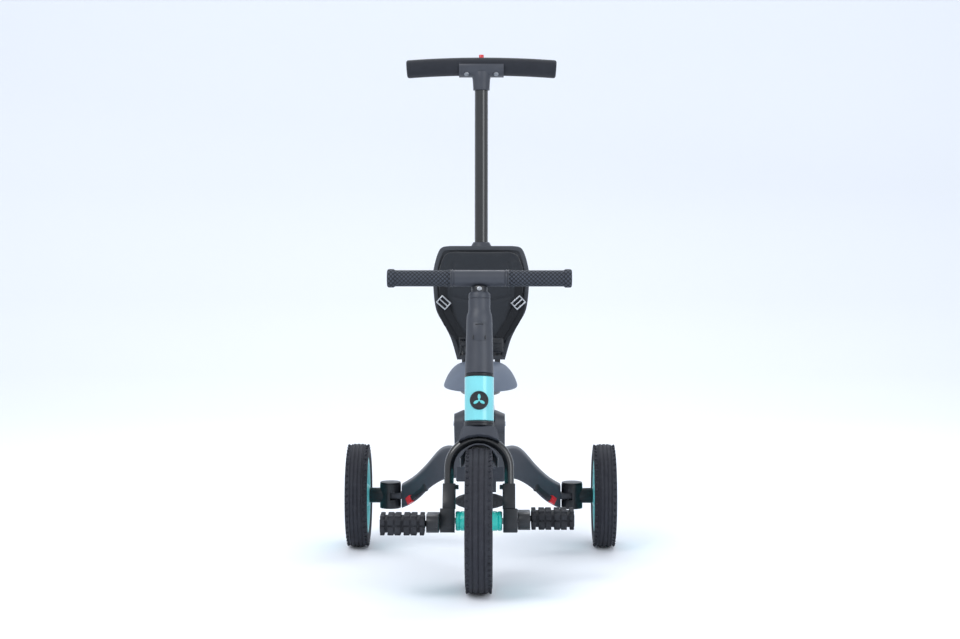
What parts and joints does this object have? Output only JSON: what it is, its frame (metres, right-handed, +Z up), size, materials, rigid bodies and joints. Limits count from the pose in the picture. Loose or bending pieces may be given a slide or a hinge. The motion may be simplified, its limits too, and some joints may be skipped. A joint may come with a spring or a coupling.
{
  "type": "child's tricycle",
  "caption": "Toddler's tricycle with pedals on the front wheel, swivelling rear wheels, a seat with a folding backrest and harness, and a telescopic parent's push handle.",
  "frame": {"origin": "on the floor, at the centre of the bounding box", "axes": "+Z up, -Y towards the front wheel, +X towards the right of a viewer who faces the front of the tricycle"},
  "size_m": [0.495, 0.635, 0.9081],
  "materials": {
    "turquoise_paint": "glossy paint",
    "green_plastic": "semi-gloss",
    "pale_blue_plastic": "satin",
    "dark_grey_plastic": "fine satin texture",
    "black_plastic": "fine satin texture",
    "tyre_rubber": "moulded tread, matte",
    "grip_rubber": "embossed, matte",
    "handle_foam": "closed-cell foam",
    "black_steel": "gloss black powder coat",
    "bare_steel": "zinc plated",
    "saddle_plastic": "satin, softly moulded",
    "pad_fabric": "woven",
    "red_plastic": "semi-gloss"
  },
  "bodies": {
    "frame": {"main_beam": "dark_grey_plastic", "frame_bolt": "bare_steel", "head_bracket": "dark_grey_plastic", "head_tube": "turquoise_paint", "badge": "black_plastic", "lower_headset_ring": "black_plastic", "upper_headset_ring": "black_plastic", "left_arm": "dark_grey_plastic", "right_arm": "dark_grey_plastic", "seat_post": "bare_steel", "saddle_base": "black_plastic", "saddle": "saddle_plastic", "seat_hinge_pin": "bare_steel", "handle_socket": "black_steel", "socket_collar": "dark_grey_plastic", "footrest_pin": "bare_steel"},
    "steering": {"fork": "black_steel", "crown_cover": "dark_grey_plastic", "steerer": "bare_steel", "mudguard": "dark_grey_plastic", "left_fork_cover": "black_plastic", "right_fork_cover": "black_plastic", "left_axle_cap": "black_plastic", "right_axle_cap": "black_plastic", "stem": "dark_grey_plastic", "bar_screw": "bare_steel", "handlebar": "bare_steel", "bar_cover": "dark_grey_plastic", "left_grip": "grip_rubber", "right_grip": "grip_rubber"},
    "stem_button": {"stem_button": "black_plastic"},
    "front_wheel": {"front_tyre": "tyre_rubber", "front_rim": "pale_blue_plastic", "front_hub": "green_plastic", "front_axle": "bare_steel", "left_crank": "black_plastic", "right_crank": "black_plastic"},
    "left_pedal": {"left_pedal": "grip_rubber"},
    "right_pedal": {"right_pedal": "grip_rubber"},
    "left_carrier": {"left_wheel_carrier": "black_plastic", "left_pivot_pin": "black_plastic"},
    "right_carrier": {"right_wheel_carrier": "black_plastic", "right_pivot_pin": "black_plastic"},
    "left_rear_wheel": {"left_rear_tyre": "tyre_rubber", "left_rear_rim": "pale_blue_plastic"},
    "right_rear_wheel": {"right_rear_tyre": "tyre_rubber", "right_rear_rim": "pale_blue_plastic"},
    "left_lever": {"left_release_lever": "red_plastic"},
    "right_lever": {"right_release_lever": "red_plastic"},
    "backrest": {"backrest_shell": "dark_grey_plastic", "backrest_pad": "pad_fabric", "left_strap": "pad_fabric", "right_strap": "pad_fabric", "left_buckle": "black_plastic", "right_buckle": "black_plastic"},
    "footrest": {"footrest": "black_plastic"},
    "push_handle": {"push_pole": "black_steel", "t_clamp": "dark_grey_plastic", "push_grip": "handle_foam"},
    "handle_button": {"handle_button": "red_plastic"}
  },
  "joints": [
    {"name": "steering", "type": "hinge", "parent": "frame", "child": "steering", "pos_m": [0, -0.18576, 0.1175], "axis": [0, 0.2079, 0.9781], "range_deg": [-35, 35]},
    {"name": "stem_button_press", "type": "slide", "parent": "steering", "child": "stem_button", "axis": [0, 0.9781, -0.2079], "range_m": [0, 0.0022], "stiffness_N_per_m": 600},
    {"name": "front_wheel_spin", "type": "hinge", "parent": "steering", "child": "front_wheel", "pos_m": [0, -0.1975, 0.12], "axis": [1, 0, 0], "continuous": true},
    {"name": "left_pedal_spin", "type": "hinge", "parent": "front_wheel", "child": "left_pedal", "pos_m": [-0.12, -0.26214, 0.12679], "axis": [1, 0, 0], "continuous": true},
    {"name": "right_pedal_spin", "type": "hinge", "parent": "front_wheel", "child": "right_pedal", "pos_m": [0.12, -0.13286, 0.11321], "axis": [1, 0, 0], "continuous": true},
    {"name": "left_wheel_swivel", "type": "hinge", "parent": "frame", "child": "left_carrier", "pos_m": [-0.168, 0.2225, 0.095], "axis": [0, 0, -1], "range_deg": [0, 90]},
    {"name": "right_wheel_swivel", "type": "hinge", "parent": "frame", "child": "right_carrier", "pos_m": [0.168, 0.2225, 0.095], "axis": [0, 0, 1], "range_deg": [0, 90]},
    {"name": "left_rear_wheel_spin", "type": "hinge", "parent": "left_carrier", "child": "left_rear_wheel", "pos_m": [-0.227, 0.2225, 0.095], "axis": [1, 0, 0], "continuous": true},
    {"name": "right_rear_wheel_spin", "type": "hinge", "parent": "right_carrier", "child": "right_rear_wheel", "pos_m": [0.227, 0.2225, 0.095], "axis": [1, 0, 0], "continuous": true},
    {"name": "left_lever_press", "type": "hinge", "parent": "frame", "child": "left_lever", "pos_m": [-0.10109, 0.14551, 0.121], "axis": [-0.732, -0.6813, 0], "range_deg": [0, 8], "stiffness_Nm_per_rad": 0.6},
    {"name": "right_lever_press", "type": "hinge", "parent": "frame", "child": "right_lever", "pos_m": [0.10109, 0.14551, 0.121], "axis": [0.732, -0.6813, 0], "range_deg": [0, 8], "stiffness_Nm_per_rad": 0.6},
    {"name": "backrest_fold", "type": "hinge", "parent": "frame", "child": "backrest", "pos_m": [0, 0.1985, 0.358], "axis": [1, 0, 0], "range_deg": [0, 55]},
    {"name": "footrest_fold", "type": "hinge", "parent": "frame", "child": "footrest", "pos_m": [0, 0.054, 0.134], "axis": [-1, 0, 0], "range_deg": [0, 85]},
    {"name": "push_handle_height", "type": "slide", "parent": "frame", "child": "push_handle", "axis": [0, -0.0698, -0.9976], "range_m": [0, 0.245]},
    {"name": "handle_button_press", "type": "slide", "parent": "push_handle", "child": "handle_button", "axis": [0, -0.0698, -0.9976], "range_m": [0, 0.0035], "stiffness_N_per_m": 500}
  ]
}
